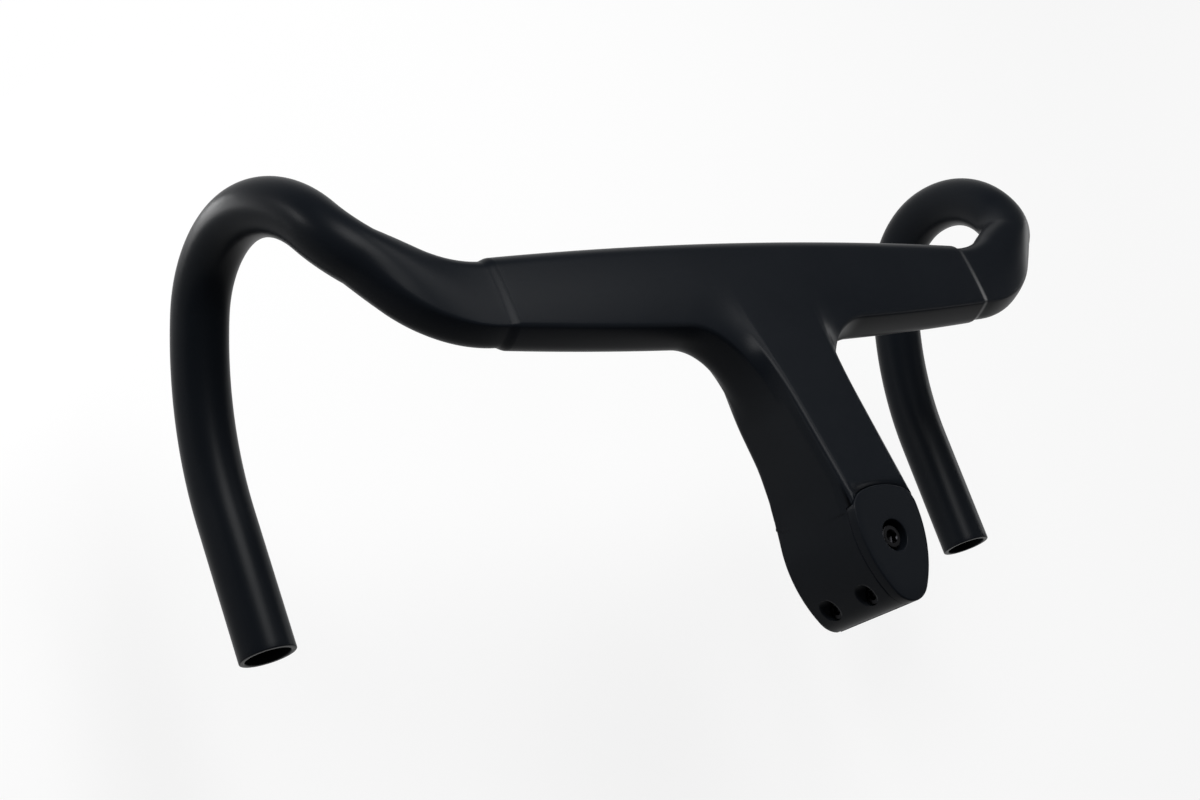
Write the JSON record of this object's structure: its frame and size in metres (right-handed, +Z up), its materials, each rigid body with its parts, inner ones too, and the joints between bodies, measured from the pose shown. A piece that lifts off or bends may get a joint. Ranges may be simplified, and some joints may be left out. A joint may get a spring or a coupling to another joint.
{
  "type": "integrated handlebar stem",
  "caption": "Drop handlebar moulded in one with its stem: flat wing tops, round drops and a split steerer clamp closed by side screws under an egg-shaped cap.",
  "frame": {"origin": "on the steerer axis at the clamp's lower face", "axes": "+X to the rider's right, +Y forwards, +Z up the steerer"},
  "size_m": [0.4446, 0.2261, 0.1651],
  "materials": {
    "moulding": "satin black over moulded composite",
    "cap": "satin black",
    "screws": "black oxide on steel",
    "barrels": "grey anodised"
  },
  "bodies": {
    "root": {"bar_stem_body": "moulding", "top_cap": "cap", "cap_screw": "screws", "clamp_screws": "screws", "clamp_barrels": "barrels"}
  },
  "joints": []
}
